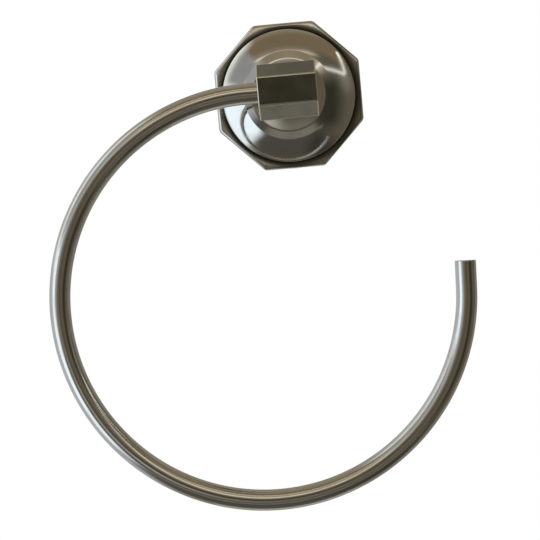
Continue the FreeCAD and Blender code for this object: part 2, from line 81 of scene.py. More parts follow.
def turnPiece(name, start, steps, turns):  # an outline in radius and height, spun round the y axis
    piece = startPiece(name, bpy.ops.mesh.primitive_plane_add, size=mm)
    bpy.ops.object.mode_set(mode="EDIT")
    bpy.ops.mesh.merge(type="CENTER")
    pen = Vector((start[0] * mm, -start[1] * mm, 0))
    bpy.ops.transform.translate(value=pen)
    for step in steps:
        if step[0] == "arc":
            centre = Vector((step[1] * mm, -step[2] * mm, 0))
            sweep = math.radians(step[3])
            bpy.ops.mesh.spin(steps=step[4], angle=-sweep, center=centre, axis=(0, 0, 1))
            pen = centre + Matrix.Rotation(sweep, 3, "Z") @ (pen - centre)
        else:
            target = Vector((step[1] * mm, -step[2] * mm, 0))
            bpy.ops.mesh.extrude_region_move(TRANSFORM_OT_translate={"value": target - pen})
            pen = target
    bpy.ops.mesh.select_all(action="SELECT")
    bpy.ops.mesh.spin(steps=turns, angle=math.tau, center=(0, 0, 0), axis=(0, 1, 0))
    bpy.ops.mesh.select_all(action="SELECT")
    bpy.ops.mesh.remove_doubles(threshold=weldGap * mm)
    bpy.ops.mesh.normals_make_consistent(inside=False)
    bpy.ops.object.mode_set(mode="OBJECT")
    return piece


def makeCutter(name, radius, begin, end, sides=64):  # a round cutter between two points
    run = Vector(end) - Vector(begin)
    turn = run.to_track_quat("Z", "Y").to_euler()
    return startPiece(name, bpy.ops.mesh.primitive_cylinder_add, vertices=sides, radius=radius * mm,
                      depth=run.length * mm, location=(Vector(begin) + Vector(end)) / 2 * mm, rotation=turn)


def applyBoolean(piece, cutter, operation):
    bpy.ops.object.select_all(action="DESELECT")
    bpy.context.view_layer.objects.active = piece
    piece.select_set(True)
    bpy.ops.object.modifier_add(type="BOOLEAN")
    boolean = piece.modifiers[-1]
    boolean.operation = operation
    boolean.solver = "EXACT"
    boolean.object = cutter
    bpy.ops.object.modifier_apply(modifier=boolean.name)
    bpy.data.objects.remove(cutter)


def finishPiece(piece, smoothAngle, node, material):
    bpy.ops.object.select_all(action="DESELECT")
    bpy.context.view_layer.objects.active = piece
    piece.select_set(True)
    bpy.ops.object.shade_smooth_by_angle(angle=math.radians(smoothAngle))
    bpy.ops.object.modifier_add(type="WEIGHTED_NORMAL")
    weighted = piece.modifiers[-1]
    weighted.keep_sharp = True
    bpy.ops.object.modifier_apply(modifier=weighted.name)
    piece.data.materials.clear()
    piece.data.materials.append(material)
    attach(piece, "root")
    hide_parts(node)
    print(piece.name, "made,", len(piece.data.polygons), "faces")


# Material helpers
def addNode(tree, kind, settings=None, **inputs):  # an input goes by its name, or as i0, i1 by its place
    node = tree.nodes.new(kind)
    for key, value in (settings or {}).items():
        setattr(node, key, value)
    for key, value in inputs.items():
        socket = node.inputs[int(key[1:])] if key[0] == "i" and key[1:].isdigit() else node.inputs[key]
        if isinstance(value, bpy.types.NodeSocket):
            tree.links.new(value, socket)
        else:
            socket.default_value = value
    return node


def mathNode(tree, operation, first, second=0.0, clamp=False):
    return addNode(tree, "ShaderNodeMath", {"operation": operation, "use_clamp": clamp},
                   i0=first, i1=second).outputs[0]


def newGroup(name, inputs, outputs):
    group = bpy.data.node_groups.new(name, "ShaderNodeTree")
    for label, kind, value in inputs:
        socket = group.interface.new_socket(name=label, in_out="INPUT", socket_type="NodeSocket" + kind)
        if value is not None:
            socket.default_value = value
    for label, kind in outputs:
        group.interface.new_socket(name=label, in_out="OUTPUT", socket_type="NodeSocket" + kind)
    entry = group.nodes.new("NodeGroupInput")
    leave = group.nodes.new("NodeGroupOutput")
    return group, entry, leave


def placeGroup(tree, group, **inputs):
    node = tree.nodes.new("ShaderNodeGroup")
    node.node_tree = group
    for key, value in inputs.items():
        if isinstance(value, bpy.types.NodeSocket):
            tree.links.new(value, node.inputs[key])
        else:
            node.inputs[key].default_value = value
    return node


# Lines left by turning: rings round the y axis, finer across than along
turningMarks, entry, leave = newGroup("turningMarks", [
    ("Position", "Vector", None), ("Pitch", "Float", 0.4), ("Depth", "Float", 1.0)],
    [("Height", "Float")])
apart = addNode(turningMarks, "ShaderNodeSeparateXYZ", i0=entry.outputs["Position"])
acrossSquared = mathNode(turningMarks, "ADD", mathNode(turningMarks, "POWER", apart.outputs[0], 2.0),
                         mathNode(turningMarks, "POWER", apart.outputs[2], 2.0))
offAxis = mathNode(turningMarks, "SQRT", acrossSquared)
profileRun = mathNode(turningMarks, "SUBTRACT", offAxis, apart.outputs[1])
ringCount = mathNode(turningMarks, "DIVIDE", mathNode(turningMarks, "MULTIPLY", profileRun, 1 / mm),
                     entry.outputs["Pitch"])
ringNoise = addNode(turningMarks, "ShaderNodeTexNoise", {"noise_dimensions": "1D"},
                    W=ringCount, Scale=1.0, Detail=3.0, Roughness=0.6)
markHeight = mathNode(turningMarks, "MULTIPLY", ringNoise.outputs[0], entry.outputs["Depth"])
turningMarks.links.new(markHeight, leave.inputs["Height"])

# Lines left by a belt or a die: noise drawn out along one axis by the stretch of the position
brushLines, entry, leave = newGroup("brushLines", [
    ("Position", "Vector", None), ("Stretch", "Vector", (1, 20, 20)), ("Scale", "Float", 1000.0)],
    [("Height", "Float")])
stretched = addNode(brushLines, "ShaderNodeVectorMath", {"operation": "MULTIPLY"},
                    i0=entry.outputs["Position"], i1=entry.outputs["Stretch"])
brushNoise = addNode(brushLines, "ShaderNodeTexNoise", Vector=stretched.outputs[0],
                     Scale=entry.outputs["Scale"], Detail=4.0, Roughness=0.65)
brushLines.links.new(brushNoise.outputs[0], leave.inputs["Height"])

# Handling: broad soft smears that dull the polish here and there
smearFrom, smearFull = 0.42, 0.66  # the noise at a smear's border and well inside it
handlingSmears, entry, leave = newGroup("handlingSmears", [
    ("Position", "Vector", None), ("Scale", "Float", 60.0), ("Low", "Float", 0.1), ("High", "Float", 0.2)],
    [("Roughness", "Float"), ("Mask", "Float")])
smearNoise = addNode(handlingSmears, "ShaderNodeTexNoise", Vector=entry.outputs["Position"],
                     Scale=entry.outputs["Scale"], Detail=3.0, Roughness=0.55, Distortion=0.6)
smearMask = addNode(handlingSmears, "ShaderNodeMapRange", {"interpolation_type": "SMOOTHSTEP"},
                    i0=smearNoise.outputs[0], i1=smearFrom, i2=smearFull, i3=0.0, i4=1.0)
smearRough = addNode(handlingSmears, "ShaderNodeMapRange", i0=smearMask.outputs[0], i1=0.0, i2=1.0,
                     i3=entry.outputs["Low"], i4=entry.outputs["High"])
handlingSmears.links.new(smearRough.outputs[0], leave.inputs["Roughness"])
handlingSmears.links.new(smearMask.outputs[0], leave.inputs["Mask"])

# Pin holes in the plating: a few small dark pits, far apart
pinHoles, entry, leave = newGroup("pinHoles", [
    ("Position", "Vector", None), ("Spacing", "Float", 9.0), ("Size", "Float", 0.22)],
    [("Mask", "Float")])
pinScale = mathNode(pinHoles, "DIVIDE", 1 / mm, entry.outputs["Spacing"])
pinCells = addNode(pinHoles, "ShaderNodeTexVoronoi", Vector=entry.outputs["Position"], Scale=pinScale,
                   Randomness=1.0)
pinReach = mathNode(pinHoles, "DIVIDE", entry.outputs["Size"], entry.outputs["Spacing"])
pinMask = addNode(pinHoles, "ShaderNodeMapRange", {"interpolation_type": "SMOOTHSTEP"},
                  i0=pinCells.outputs["Distance"], i1=mathNode(pinHoles, "MULTIPLY", pinReach, 0.5),
                  i2=pinReach, i3=1.0, i4=0.0)
pinHoles.links.new(pinMask.outputs[0], leave.inputs["Mask"])

# Painted shade: a dark ring round a middle, full at one distance from it and gone at another, in millimetres
paintedShadeRing, entry, leave = newGroup("paintedShadeRing", [
    ("Position", "Vector", None), ("Middle", "Vector", (0, 0, 0)), ("Full", "Float", 27.4),
    ("Gone", "Float", 30.0)], [("Mask", "Float")])
scaled = addNode(paintedShadeRing, "ShaderNodeVectorMath", {"operation": "SCALE"},
                 i0=entry.outputs["Position"], Scale=1 / mm)
offMiddle = addNode(paintedShadeRing, "ShaderNodeVectorMath", {"operation": "SUBTRACT"},
                    i0=scaled.outputs[0], i1=entry.outputs["Middle"])
flattened = addNode(paintedShadeRing, "ShaderNodeVectorMath", {"operation": "MULTIPLY"},
                    i0=offMiddle.outputs[0], i1=(1, 0, 1))
fromAxis = addNode(paintedShadeRing, "ShaderNodeVectorMath", {"operation": "LENGTH"},
                   i0=flattened.outputs[0]).outputs["Value"]
shadeRingMask = addNode(paintedShadeRing, "ShaderNodeMapRange", {"interpolation_type": "SMOOTHSTEP"},
                      i0=fromAxis, i1=entry.outputs["Full"], i2=entry.outputs["Gone"], i3=1.0, i4=0.0)
paintedShadeRing.links.new(shadeRingMask.outputs[0], leave.inputs["Mask"])


def metalMaterial(name, finish, addMarks):  # plated metal; addMarks gives the height of its working lines
    material = bpy.data.materials.new(name)
    material.use_nodes = True
    tree = material.node_tree
    shader = tree.nodes["Principled BSDF"]
    shader.inputs["Metallic"].default_value = 1.0
    position = addNode(tree, "ShaderNodeTexCoord").outputs["Object"]
    smears = placeGroup(tree, handlingSmears, Position=position, Scale=finish["smearScale"],
                        Low=finish["polished"], High=finish["dulled"])
    holes = placeGroup(tree, pinHoles, Position=position, Spacing=finish["holeSpacing"],
                       Size=finish["holeSize"])
    toned = addNode(tree, "ShaderNodeMix", {"data_type": "RGBA"}, i0=smears.outputs["Mask"],
                    i6=finish["colour"], i7=finish["smearColour"])
    pitted = addNode(tree, "ShaderNodeMix", {"data_type": "RGBA"}, i0=holes.outputs["Mask"],
                     i6=toned.outputs[2], i7=finish["holeColour"])
    tree.links.new(pitted.outputs[2], shader.inputs["Base Color"])
    tree.links.new(smears.outputs["Roughness"], shader.inputs["Roughness"])
    marks = addMarks(tree, position)
    workingLines = addNode(tree, "ShaderNodeBump", Strength=1.0, Distance=finish["lineDepth"] * mm,
                           Height=marks)
    sunk = addNode(tree, "ShaderNodeBump", {"invert": True}, Strength=1.0, Distance=finish["holeDepth"] * mm,
                   Height=holes.outputs["Mask"], Normal=workingLines.outputs[0])
    tree.links.new(sunk.outputs[0], shader.inputs["Normal"])
    return material


def overlay(material, label, kind, mask, value):  # a value over what feeds a socket, where the mask is 1
    tree = material.node_tree
    socket = tree.nodes["Principled BSDF"].inputs[label]
    below, above, mixed = {"RGBA": ("i6", "i7", 2), "FLOAT": ("i2", "i3", 0)}[kind]
    mix = addNode(tree, "ShaderNodeMix", {"data_type": kind},
                  **{"i0": mask, below: socket.links[0].from_socket, above: value})
    tree.links.new(mix.outputs[mixed], socket)


nickel = {
    "colour": (0.62, 0.60, 0.55, 1),
    "smearColour": (0.58, 0.55, 0.50, 1),
    "holeColour": (0.10, 0.09, 0.07, 1),
    "smearScale": 70.0,
    "polished": 0.09,
    "dulled": 0.16,
    "holeSpacing": 14.0,
    "holeSize": 0.35,
    "holeDepth": 0.05,
    "lineDepth": 0.0009,
}
domeFinish = dict(nickel, polished=0.06, dulled=0.13)
plateFinish = dict(nickel, polished=0.12, dulled=0.19)
rodFinish = dict(nickel, polished=0.13, dulled=0.19, lineDepth=0.0003)
satin = dict(nickel, colour=(0.225, 0.22, 0.187, 1), smearColour=(0.20, 0.19, 0.16, 1), polished=0.22,
             dulled=0.30, holeSpacing=11.0, lineDepth=0.0016)
zinc = dict(nickel, colour=(0.55, 0.57, 0.60, 1), smearColour=(0.45, 0.47, 0.48, 1), polished=0.30,
            dulled=0.48, lineDepth=0.003)
blackOxide = dict(nickel, colour=(0.035, 0.034, 0.036, 1), smearColour=(0.05, 0.048, 0.045, 1),
                  polished=0.32, dulled=0.45, lineDepth=0.002)
paintedRimShade = {  # painted shade: the plate's face is painted dark close to the dome's rim, where the rim's shadow falls
    "middle": (0.6, 0, -0.6),
    "full": 27.4,
    "gone": 30.0,
    "colour": (0.17, 0.16, 0.13, 1),
}
edgeWearAndHighlight = {  # the block's edges, worn lighter by hands and cloths, with a painted highlight along them
    "colour": (0.68, 0.63, 0.52, 1),
    "roughness": 0.16,
}


def turnedMarks(pitch):
    return lambda tree, position: placeGroup(tree, turningMarks, Position=position, Pitch=pitch).outputs[0]


def brushedMarks(stretch, scale):
    return lambda tree, position: placeGroup(tree, brushLines, Position=position, Stretch=stretch,
                                             Scale=scale).outputs[0]


domeMetal = metalMaterial("domeNickel", domeFinish, turnedMarks(pitch=0.45))
plateMetal = metalMaterial("plateNickel", plateFinish, brushedMarks(stretch=(1, 1, 1), scale=900.0))
platePosition = addNode(plateMetal.node_tree, "ShaderNodeTexCoord").outputs["Object"]
# painted shade on the plate's face, darkest next to the dome's rim
rimShadeNode = placeGroup(plateMetal.node_tree, paintedShadeRing, Position=platePosition,
                     Middle=paintedRimShade["middle"], Full=paintedRimShade["full"], Gone=paintedRimShade["gone"])
overlay(plateMetal, "Base Color", "RGBA", rimShadeNode.outputs["Mask"], paintedRimShade["colour"])
rodMetal = metalMaterial("rodNickel", rodFinish, brushedMarks(stretch=(1, 1, 1), scale=700.0))
neckMetal = metalMaterial("neckNickel", nickel, turnedMarks(pitch=0.35))
barMetal = metalMaterial("barSatin", satin, brushedMarks(stretch=(0.05, 1, 1), scale=4000.0))
wornAndSheen = addNode(barMetal.node_tree, "ShaderNodeAttribute", {"attribute_name": "edgeWearAndSheen"}).outputs["Fac"]
# the block's edges get a lighter colour: wear and a painted highlight
overlay(barMetal, "Base Color", "RGBA", wornAndSheen, edgeWearAndHighlight["colour"])
overlay(barMetal, "Roughness", "FLOAT", wornAndSheen, edgeWearAndHighlight["roughness"])
zincMetal = metalMaterial("zincPlate", zinc, brushedMarks(stretch=(1, 1, 1), scale=800.0))
blackMetal = metalMaterial("blackOxide", blackOxide, brushedMarks(stretch=(1, 1, 1), scale=900.0))
print("materials made")

# Camera, from the photograph's view
view = {
    "place": (8.87, -947.08, -49.2),
    "pitch": -1.24,
    "yaw": 1.384,
    "roll": -5.042,
    "lens": 154.7,
}
bpy.ops.object.camera_add(location=[value * mm for value in view["place"]])
camera = bpy.context.active_object
camera.name = "photoCamera"
aim = Matrix.Rotation(math.radians(view["yaw"]), 3, "Z") @ Matrix.Rotation(
    math.radians(90 + view["pitch"]), 3, "X") @ Matrix.Rotation(math.radians(view["roll"]), 3, "Z")
camera.rotation_euler = aim.to_euler()
camera.data.lens = view["lens"]
bpy.context.scene.camera = camera
bpy.context.scene.view_settings.view_transform = "Standard"

# Octagonal base: a cast plate with a crowned face, a round well and a hollow back
plate = {
    "flats": 58.6,
    "height": 10.0,
    "cornerRadius": 2.2,
    "cornerSteps": 8,
    "sideCuts": 11,
    "edgeRound": 1.2,
    "edgeSteps": 10,
    "crownStart": 27.4,
    "crownBend": 10.0,
    "wellRoom": 0.55,
    "wellFloor": 8.2,
    "faceSteps": 8,
    "turretRadius": 18.5,
    "turretFoot": 1.2,
    "turretHeight": 11.6,
    "turretBreak": 1.0,
    "hubRadius": 8.5,
    "hubHeight": 16.794,
    "turretFloor": 9.6,
    "turretBore": 16.5,
    "recessDepth": 6.6,
    "recessRadius": 25.2,
    "hookWidth": 14.0,
    "hookLow": 21.05,
    "hookTop": 27.25,
    "hookSetback": 0.6,
    "hookRoot": 0.3,  # how far the hook goes into the plate
    "grubRadius": 2.05,
    "grubHeight": 2.8,
    "grubDepth": 4.1,
    "smoothAngle": 28,
}
half = plate["flats"] / 2
corner = half / math.cos(math.pi / 8)
wellRadius = shared["rimRadius"] + plate["wellRoom"]
base = startPiece("basePlate", bpy.ops.mesh.primitive_circle_add, vertices=8, radius=corner * mm,
                  fill_type="NGON", rotation=(math.pi / 2, math.pi / 8, 0))
bpy.ops.object.mode_set(mode="EDIT")
bpy.ops.mesh.select_all(action="SELECT")
bpy.ops.mesh.bevel(offset=plate["cornerRadius"] * math.tan(math.pi / 8) * mm, segments=plate["cornerSteps"],
                   affect="VERTICES")
bpy.ops.mesh.delete(type="ONLY_FACE")
selectParts("edges", lambda edge: edge.calc_length() > plate["cornerRadius"] * mm)  # the eight sides
bpy.ops.mesh.subdivide(number_cuts=plate["sideCuts"])
bpy.ops.mesh.select_all(action="SELECT")
openEdge = {"size": half, "height": 0.0}  # the open edge that each step carries on


def carryEdge(size, height):
    drop = Vector((0, openEdge["height"] - height, 0)) * mm
    bpy.ops.mesh.extrude_region_move(TRANSFORM_OT_translate={"value": drop})
    factor = size / openEdge["size"]
    if abs(size - openEdge["size"]) > slack:
        bpy.ops.transform.resize(value=(factor, 1, factor), center_override=(0, 0, 0))
    openEdge["size"] = size
    openEdge["height"] = height


def meanRadius():  # of the open edge
    radii = [math.hypot(v.co.x, v.co.z) for v in bmesh.from_edit_mesh(base.data).verts if v.select]
    return sum(radii) / len(radii) / mm


edgeCentre = plate["height"] - plate["edgeRound"]
carryEdge(half, edgeCentre)
for step in range(1, plate["edgeSteps"] + 1):
    lean = math.pi / 2 * step / plate["edgeSteps"]
    carryEdge(half - plate["edgeRound"] * (1 - math.cos(lean)),
              edgeCentre + plate["edgeRound"] * math.sin(lean))
outerRadius = meanRadius()
for step in range(1, plate["faceSteps"] + 1):  # the octagon turns round on its way in to the well
    carryEdge(openEdge["size"], plate["height"])
    bpy.ops.transform.tosphere(value=1 / (plate["faceSteps"] - step + 1))
    reached = outerRadius + (wellRadius - outerRadius) * step / plate["faceSteps"]
    factor = reached / meanRadius()
    bpy.ops.transform.resize(value=(factor, 1, factor), center_override=(0, 0, 0))
openEdge["size"] = wellRadius
mesh = bmesh.from_edit_mesh(base.data)
for vertex in mesh.verts:  # the crown: face and rounded edge fall away by their distance from the well
    beyond = math.hypot(vertex.co.x, vertex.co.z) / mm - plate["crownStart"]
    if beyond > 0 and vertex.co.y < -plate["wellFloor"] * mm:
        vertex.co.y += (plate["crownBend"] - math.sqrt(plate["crownBend"] ** 2 - beyond ** 2)) * mm
bmesh.update_edit_mesh(base.data)
foot = plate["turretRadius"] + plate["turretFoot"]
for size, height in [
    (wellRadius, plate["wellFloor"]),
    (foot, plate["wellFloor"]),
    (plate["turretRadius"], plate["wellFloor"] + plate["turretFoot"]),
    (plate["turretRadius"], plate["turretHeight"] - plate["turretBreak"]),
    (plate["turretRadius"] - plate["turretBreak"], plate["turretHeight"]),
    (plate["hubRadius"], plate["turretHeight"]),
    (plate["hubRadius"], plate["hubHeight"]),
    (shared["clampHole"], plate["hubHeight"]),
    (shared["clampHole"], plate["turretFloor"]),
    (plate["turretBore"], plate["turretFloor"]),
    (plate["turretBore"], plate["recessDepth"]),
    (plate["recessRadius"], plate["recessDepth"]),
    (plate["recessRadius"], 0.0),
]:
    carryEdge(size, height)
selectParts("edges", lambda edge: len(edge.link_faces) == 1)
bpy.ops.mesh.bridge_edge_loops()
bpy.ops.mesh.select_all(action="SELECT")
bpy.ops.mesh.normals_make_consistent(inside=False)
bpy.ops.object.mode_set(mode="OBJECT")
hookBase = plate["recessDepth"] + plate["hookRoot"]
hook = startPiece("hook", bpy.ops.mesh.primitive_cube_add, size=mm,
                  location=Vector((0, -(plate["hookSetback"] + hookBase) / 2,
                                   (plate["hookLow"] + plate["hookTop"]) / 2)) * mm,
                  scale=(plate["hookWidth"], hookBase - plate["hookSetback"],
                         plate["hookTop"] - plate["hookLow"]))
applyBoolean(base, hook, "UNION")
grubCutter = makeCutter("grubCutter", plate["grubRadius"], (0, -plate["grubHeight"], -half - overrun),
                        (0, -plate["grubHeight"], -half + plate["grubDepth"] + overrun))
applyBoolean(base, grubCutter, "DIFFERENCE")
finishPiece(base, plate["smoothAngle"], "octagon_base", plateMetal)

# Dome: a spun shell with a rolled rim, a convex band, a cone, a rounded shoulder and a sloping crown
dome = {
    "rimHeight": 9.0,
    "rimLip": 0.5,
    "rimRound": 1.5,
    "bandRadius": 42.0,
    "creaseRadius": 18.0,
    "creaseRound": 3.0,
    "shoulderRadius": 15.2,
    "shoulderTilt": 21.5,
    "crownRadius": 14.1,
    "crownTilt": 9.0,
    "seatRadius": 9.0,
    "wall": 1.4,
    "rollSteps": 12,
    "bandSteps": 24,
    "creaseSteps": 4,
    "shoulderSteps": 10,
    "turns": 288,
    "smoothAngle": 30,
}
skirtTilt = math.asin((shared["rimRadius"] - dome["rimRound"]) / (dome["bandRadius"] - dome["rimRound"]))
bandTilt = math.asin(dome["creaseRadius"] / dome["bandRadius"])
shoulderTilt = math.radians(dome["shoulderTilt"])
crownTilt = math.radians(dome["crownTilt"])
rollCentre = (shared["rimRadius"] - dome["rimRound"], dome["rimHeight"] + dome["rimLip"])
skirt = (dome["bandRadius"] * math.sin(skirtTilt), rollCentre[1] + dome["rimRound"] * math.cos(skirtTilt))
bandCentre = skirt[1] - dome["bandRadius"] * math.cos(skirtTilt)
creaseHeight = bandCentre + dome["bandRadius"] * math.cos(bandTilt)
creaseCentre = (dome["creaseRadius"] - dome["creaseRound"] * math.sin(bandTilt),
                creaseHeight - dome["creaseRound"] * math.cos(bandTilt))
coneFoot = (creaseCentre[0] + dome["creaseRound"] * math.sin(shoulderTilt),
            creaseCentre[1] + dome["creaseRound"] * math.cos(shoulderTilt))
shoulderHeight = coneFoot[1] + (coneFoot[0] - dome["shoulderRadius"]) * math.tan(shoulderTilt)
shoulderBend = (dome["shoulderRadius"] - dome["crownRadius"]) / (math.sin(shoulderTilt) - math.sin(crownTilt))
shoulderCentre = (dome["shoulderRadius"] - shoulderBend * math.sin(shoulderTilt),
                  shoulderHeight - shoulderBend * math.cos(shoulderTilt))
crownHeight = shoulderCentre[1] + shoulderBend * math.cos(crownTilt)
seatHeight = crownHeight + (dome["crownRadius"] - dome["seatRadius"]) * math.tan(crownTilt)
wall = dome["wall"]
underside = seatHeight - wall
skirtInside = (skirt[0] - wall * math.sin(skirtTilt), skirt[1] - wall * math.cos(skirtTilt))
shell = turnPiece("domeShell", (shared["rimRadius"], dome["rimHeight"]), [
    ("line", shared["rimRadius"], rollCentre[1]),
    ("arc", *rollCentre, -(90 - math.degrees(skirtTilt)), dome["rollSteps"]),
    ("arc", 0.0, bandCentre, -math.degrees(skirtTilt - bandTilt), dome["bandSteps"]),
    ("arc", *creaseCentre, -math.degrees(bandTilt - shoulderTilt), dome["creaseSteps"]),
    ("line", dome["shoulderRadius"], shoulderHeight),
    ("arc", *shoulderCentre, -math.degrees(shoulderTilt - crownTilt), dome["shoulderSteps"]),
    ("line", dome["seatRadius"], seatHeight),
    ("line", shared["clampHole"], seatHeight),
    ("line", shared["clampHole"], underside),
    ("line", dome["seatRadius"] - wall * math.tan(crownTilt / 2), underside),
    ("line", dome["crownRadius"] - wall * math.sin(crownTilt), crownHeight - wall * math.cos(crownTilt)),
    ("line", dome["shoulderRadius"] - wall * math.sin(shoulderTilt),
     shoulderHeight - wall * math.cos(shoulderTilt)),
    ("line", dome["creaseRadius"] - wall * math.sin(bandTilt), creaseHeight - wall * math.cos(bandTilt)),
    ("line", *skirtInside),
    ("line", skirtInside[0], dome["rimHeight"]),
    ("line", shared["rimRadius"], dome["rimHeight"]),
], dome["turns"])
finishPiece(shell, dome["smoothAngle"], "dome_flange", domeMetal)

# Neck: a turned post with a flared foot and a spigot
neck = {
    "boreRadius": 3.05,
    "boreDepth": 12.0,
    "boreTipSlope": 30.0,
    "footRadius": 8.4,
    "footHeight": 1.4,
    "footBreak": 0.4,
    "coveRadius": 2.6,
    "stemRadius": 5.2,
    "spigotBreak": 0.5,
    "footSteps": 5,
    "coveSteps": 16,
    "turns": 160,
    "smoothAngle": 30,
}
footTop = seatHeight + neck["footHeight"]
boreTop = plate["hubHeight"] + wall + neck["boreDepth"]
boreTip = boreTop + neck["boreRadius"] * math.tan(math.radians(neck["boreTipSlope"]))
blockBack = shared["reach"] - shared["blockFlats"] / 2
spigotTop = blockBack + shared["spigotLength"]
post = turnPiece("neckPost", (0, boreTip), [
    ("line", neck["boreRadius"], boreTop),
    ("line", neck["boreRadius"], seatHeight),
    ("line", neck["footRadius"], seatHeight),
    ("line", neck["footRadius"], footTop - neck["footBreak"]),
    ("arc", neck["footRadius"] - neck["footBreak"], footTop - neck["footBreak"], -90,
     neck["footSteps"]),
    ("line", neck["stemRadius"] + neck["coveRadius"], footTop),
    ("arc", neck["stemRadius"] + neck["coveRadius"], footTop + neck["coveRadius"], 90,
     neck["coveSteps"]),
    ("line", neck["stemRadius"], blockBack),
    ("line", shared["spigotRadius"], blockBack),
    ("line", shared["spigotRadius"], spigotTop - neck["spigotBreak"]),
    ("line", shared["spigotRadius"] - neck["spigotBreak"], spigotTop),
    ("line", 0, spigotTop),
], neck["turns"])
finishPiece(post, neck["smoothAngle"], "neck_post", neckMetal)

# Block: a length of hexagonal bar, bored for the rod and socketed for the neck
bar = {
    "length": 23.0,
    "edgeBreak": 0.45,
    "edgeSteps": 4,
    "boreRoom": 0.1,
    "boreSpare": 0.6,
    "boreMouth": 0.35,
    "mouthSteps": 3,
    "cutterSides": 96,
    "socketRoom": 0.05,
    "socketSpare": 0.3,
    "grubRadius": 1.55,
    "grubFromEnd": 4.6,
    "edgeLean": 5.0,  # faces that lean further than this off the flats and ends are the edges, which get the worn colour and painted highlight
    "edgeDepth": 0.5,  # and lie no deeper than this under the flats
    "smoothAngle": 25,
}
boreRadius = shared["rodDiameter"] / 2 + bar["boreRoom"]
boreDepth = shared["rodInsert"] + bar["boreSpare"]
socketRadius = shared["spigotRadius"] + bar["socketRoom"]
socketDepth = shared["spigotLength"] + bar["socketSpare"]
axis = Vector((0, -shared["reach"], 0))
leftEnd = -bar["length"] / 2
layDown = (Matrix.Rotation(math.pi / 6, 3, "X") @ Matrix.Rotation(math.pi / 2, 3, "Y")).to_euler()
block = startPiece("hexBlock", bpy.ops.mesh.primitive_cylinder_add, vertices=6,
                   radius=shared["blockFlats"] / math.sqrt(3) * mm, depth=bar["length"] * mm,
                   location=axis * mm, rotation=layDown)
bpy.ops.object.mode_set(mode="EDIT")
bpy.ops.mesh.select_all(action="SELECT")
bpy.ops.mesh.bevel(offset=bar["edgeBreak"] * mm, segments=bar["edgeSteps"], affect="EDGES")
bpy.ops.object.mode_set(mode="OBJECT")
mouth = axis + Vector((leftEnd, 0, 0))
boreCutter = makeCutter("boreCutter", boreRadius, mouth - Vector((overrun, 0, 0)),
                        mouth + Vector((boreDepth, 0, 0)), bar["cutterSides"])
applyBoolean(block, boreCutter, "DIFFERENCE")
socketStart = axis + Vector((0, shared["blockFlats"] / 2, 0))
socketCutter = makeCutter("socketCutter", socketRadius, socketStart + Vector((0, overrun, 0)),
                          socketStart - Vector((0, socketDepth, 0)), bar["cutterSides"])
applyBoolean(block, socketCutter, "DIFFERENCE")
lowerBack = Vector((0, 0.5, -math.cos(math.pi / 6)))  # the way out through the lower flat at the back
grubStart = mouth + Vector((bar["grubFromEnd"], 0, 0))
applyBoolean(block, makeCutter("grubCutter", bar["grubRadius"], grubStart,
                               grubStart + lowerBack * (shared["blockFlats"] / 2 + overrun)), "DIFFERENCE")


def onMouth(vertex):  # on the round edge where the bore meets the block's end
    away = vertex.co / mm - mouth
    return abs(away.x) < slack and abs(away.length - boreRadius) < slack


bpy.ops.object.mode_set(mode="EDIT")
selectParts("edges", lambda edge: all(onMouth(vertex) for vertex in edge.verts))
bpy.ops.mesh.bevel(offset=bar["boreMouth"] * mm, segments=bar["mouthSteps"], affect="EDGES")
bpy.ops.object.mode_set(mode="OBJECT")
plainSides = [Matrix.Rotation(math.radians(turn), 3, "X") @ Vector((0, -1, 0)) for turn in range(0, 360, 60)]
plainSides += [Vector((1, 0, 0)), Vector((-1, 0, 0))]  # six flats and two ends
leastCosine = math.cos(math.radians(bar["edgeLean"]))
# edge faces marked for the worn colour and painted highlight
edgeWearAndSheenLayer = block.data.attributes.new("edgeWearAndSheen", "FLOAT", "FACE")
for face in block.data.polygons:
    leansOff = all(face.normal.dot(side) < leastCosine for side in plainSides)
    fromAxis = math.hypot(face.center.y / mm + shared["reach"], face.center.z / mm)
    isEdge = leansOff and fromAxis > shared["blockFlats"] / 2 - bar["edgeDepth"]
    edgeWearAndSheenLayer.data[face.index].value = 1.0 if isEdge else 0.0
finishPiece(block, bar["smoothAngle"], "hex_block", barMetal)

# Ring: one round rod, bent round, with a short straight run at each end
rod = {
    "straight": 5.0,
    "ringRadius": 78.9,
    "bend": 267.8,
    "tail": 10.5,
    "endBreak": 0.4,
    "endSteps": 4,
    "sides": 64,
    "bendSteps": 300,
    "smoothAngle": 30,
}
rodStart = leftEnd + shared["rodInsert"]
bendStart = leftEnd - rod["straight"]
towelRing = startPiece("ringRod", bpy.ops.mesh.primitive_circle_add, vertices=rod["sides"],
                       radius=shared["rodDiameter"] / 2 * mm, fill_type="NGON", rotation=(0, math.pi / 2, 0),
                       location=Vector((rodStart, -shared["reach"], 0)) * mm)
bpy.ops.object.mode_set(mode="EDIT")
bpy.ops.mesh.select_all(action="SELECT")
bpy.ops.mesh.extrude_region_move(TRANSFORM_OT_translate={"value": ((bendStart - rodStart) * mm, 0, 0)})
ringCentre = Vector((bendStart, -shared["reach"], -rod["ringRadius"])) * mm
bpy.ops.mesh.spin(steps=rod["bendSteps"], angle=math.radians(rod["bend"]), center=ringCentre, axis=(0, 1, 0))
endAngle = math.radians(90 + rod["bend"])
tail = Vector((-math.sin(endAngle), 0, math.cos(endAngle))) * rod["tail"] * mm
bpy.ops.mesh.extrude_region_move(TRANSFORM_OT_translate={"value": tail})
bpy.ops.mesh.select_all(action="SELECT")
bpy.ops.mesh.remove_doubles(threshold=weldGap * mm)
bpy.ops.mesh.normals_make_consistent(inside=False)
selectParts("edges", lambda edge: any(len(face.verts) == rod["sides"] for face in edge.link_faces))
bpy.ops.mesh.bevel(offset=rod["endBreak"] * mm, segments=rod["endSteps"], affect="EDGES")
bpy.ops.object.mode_set(mode="OBJECT")
finishPiece(towelRing, rod["smoothAngle"], "ring_rod", rodMetal)

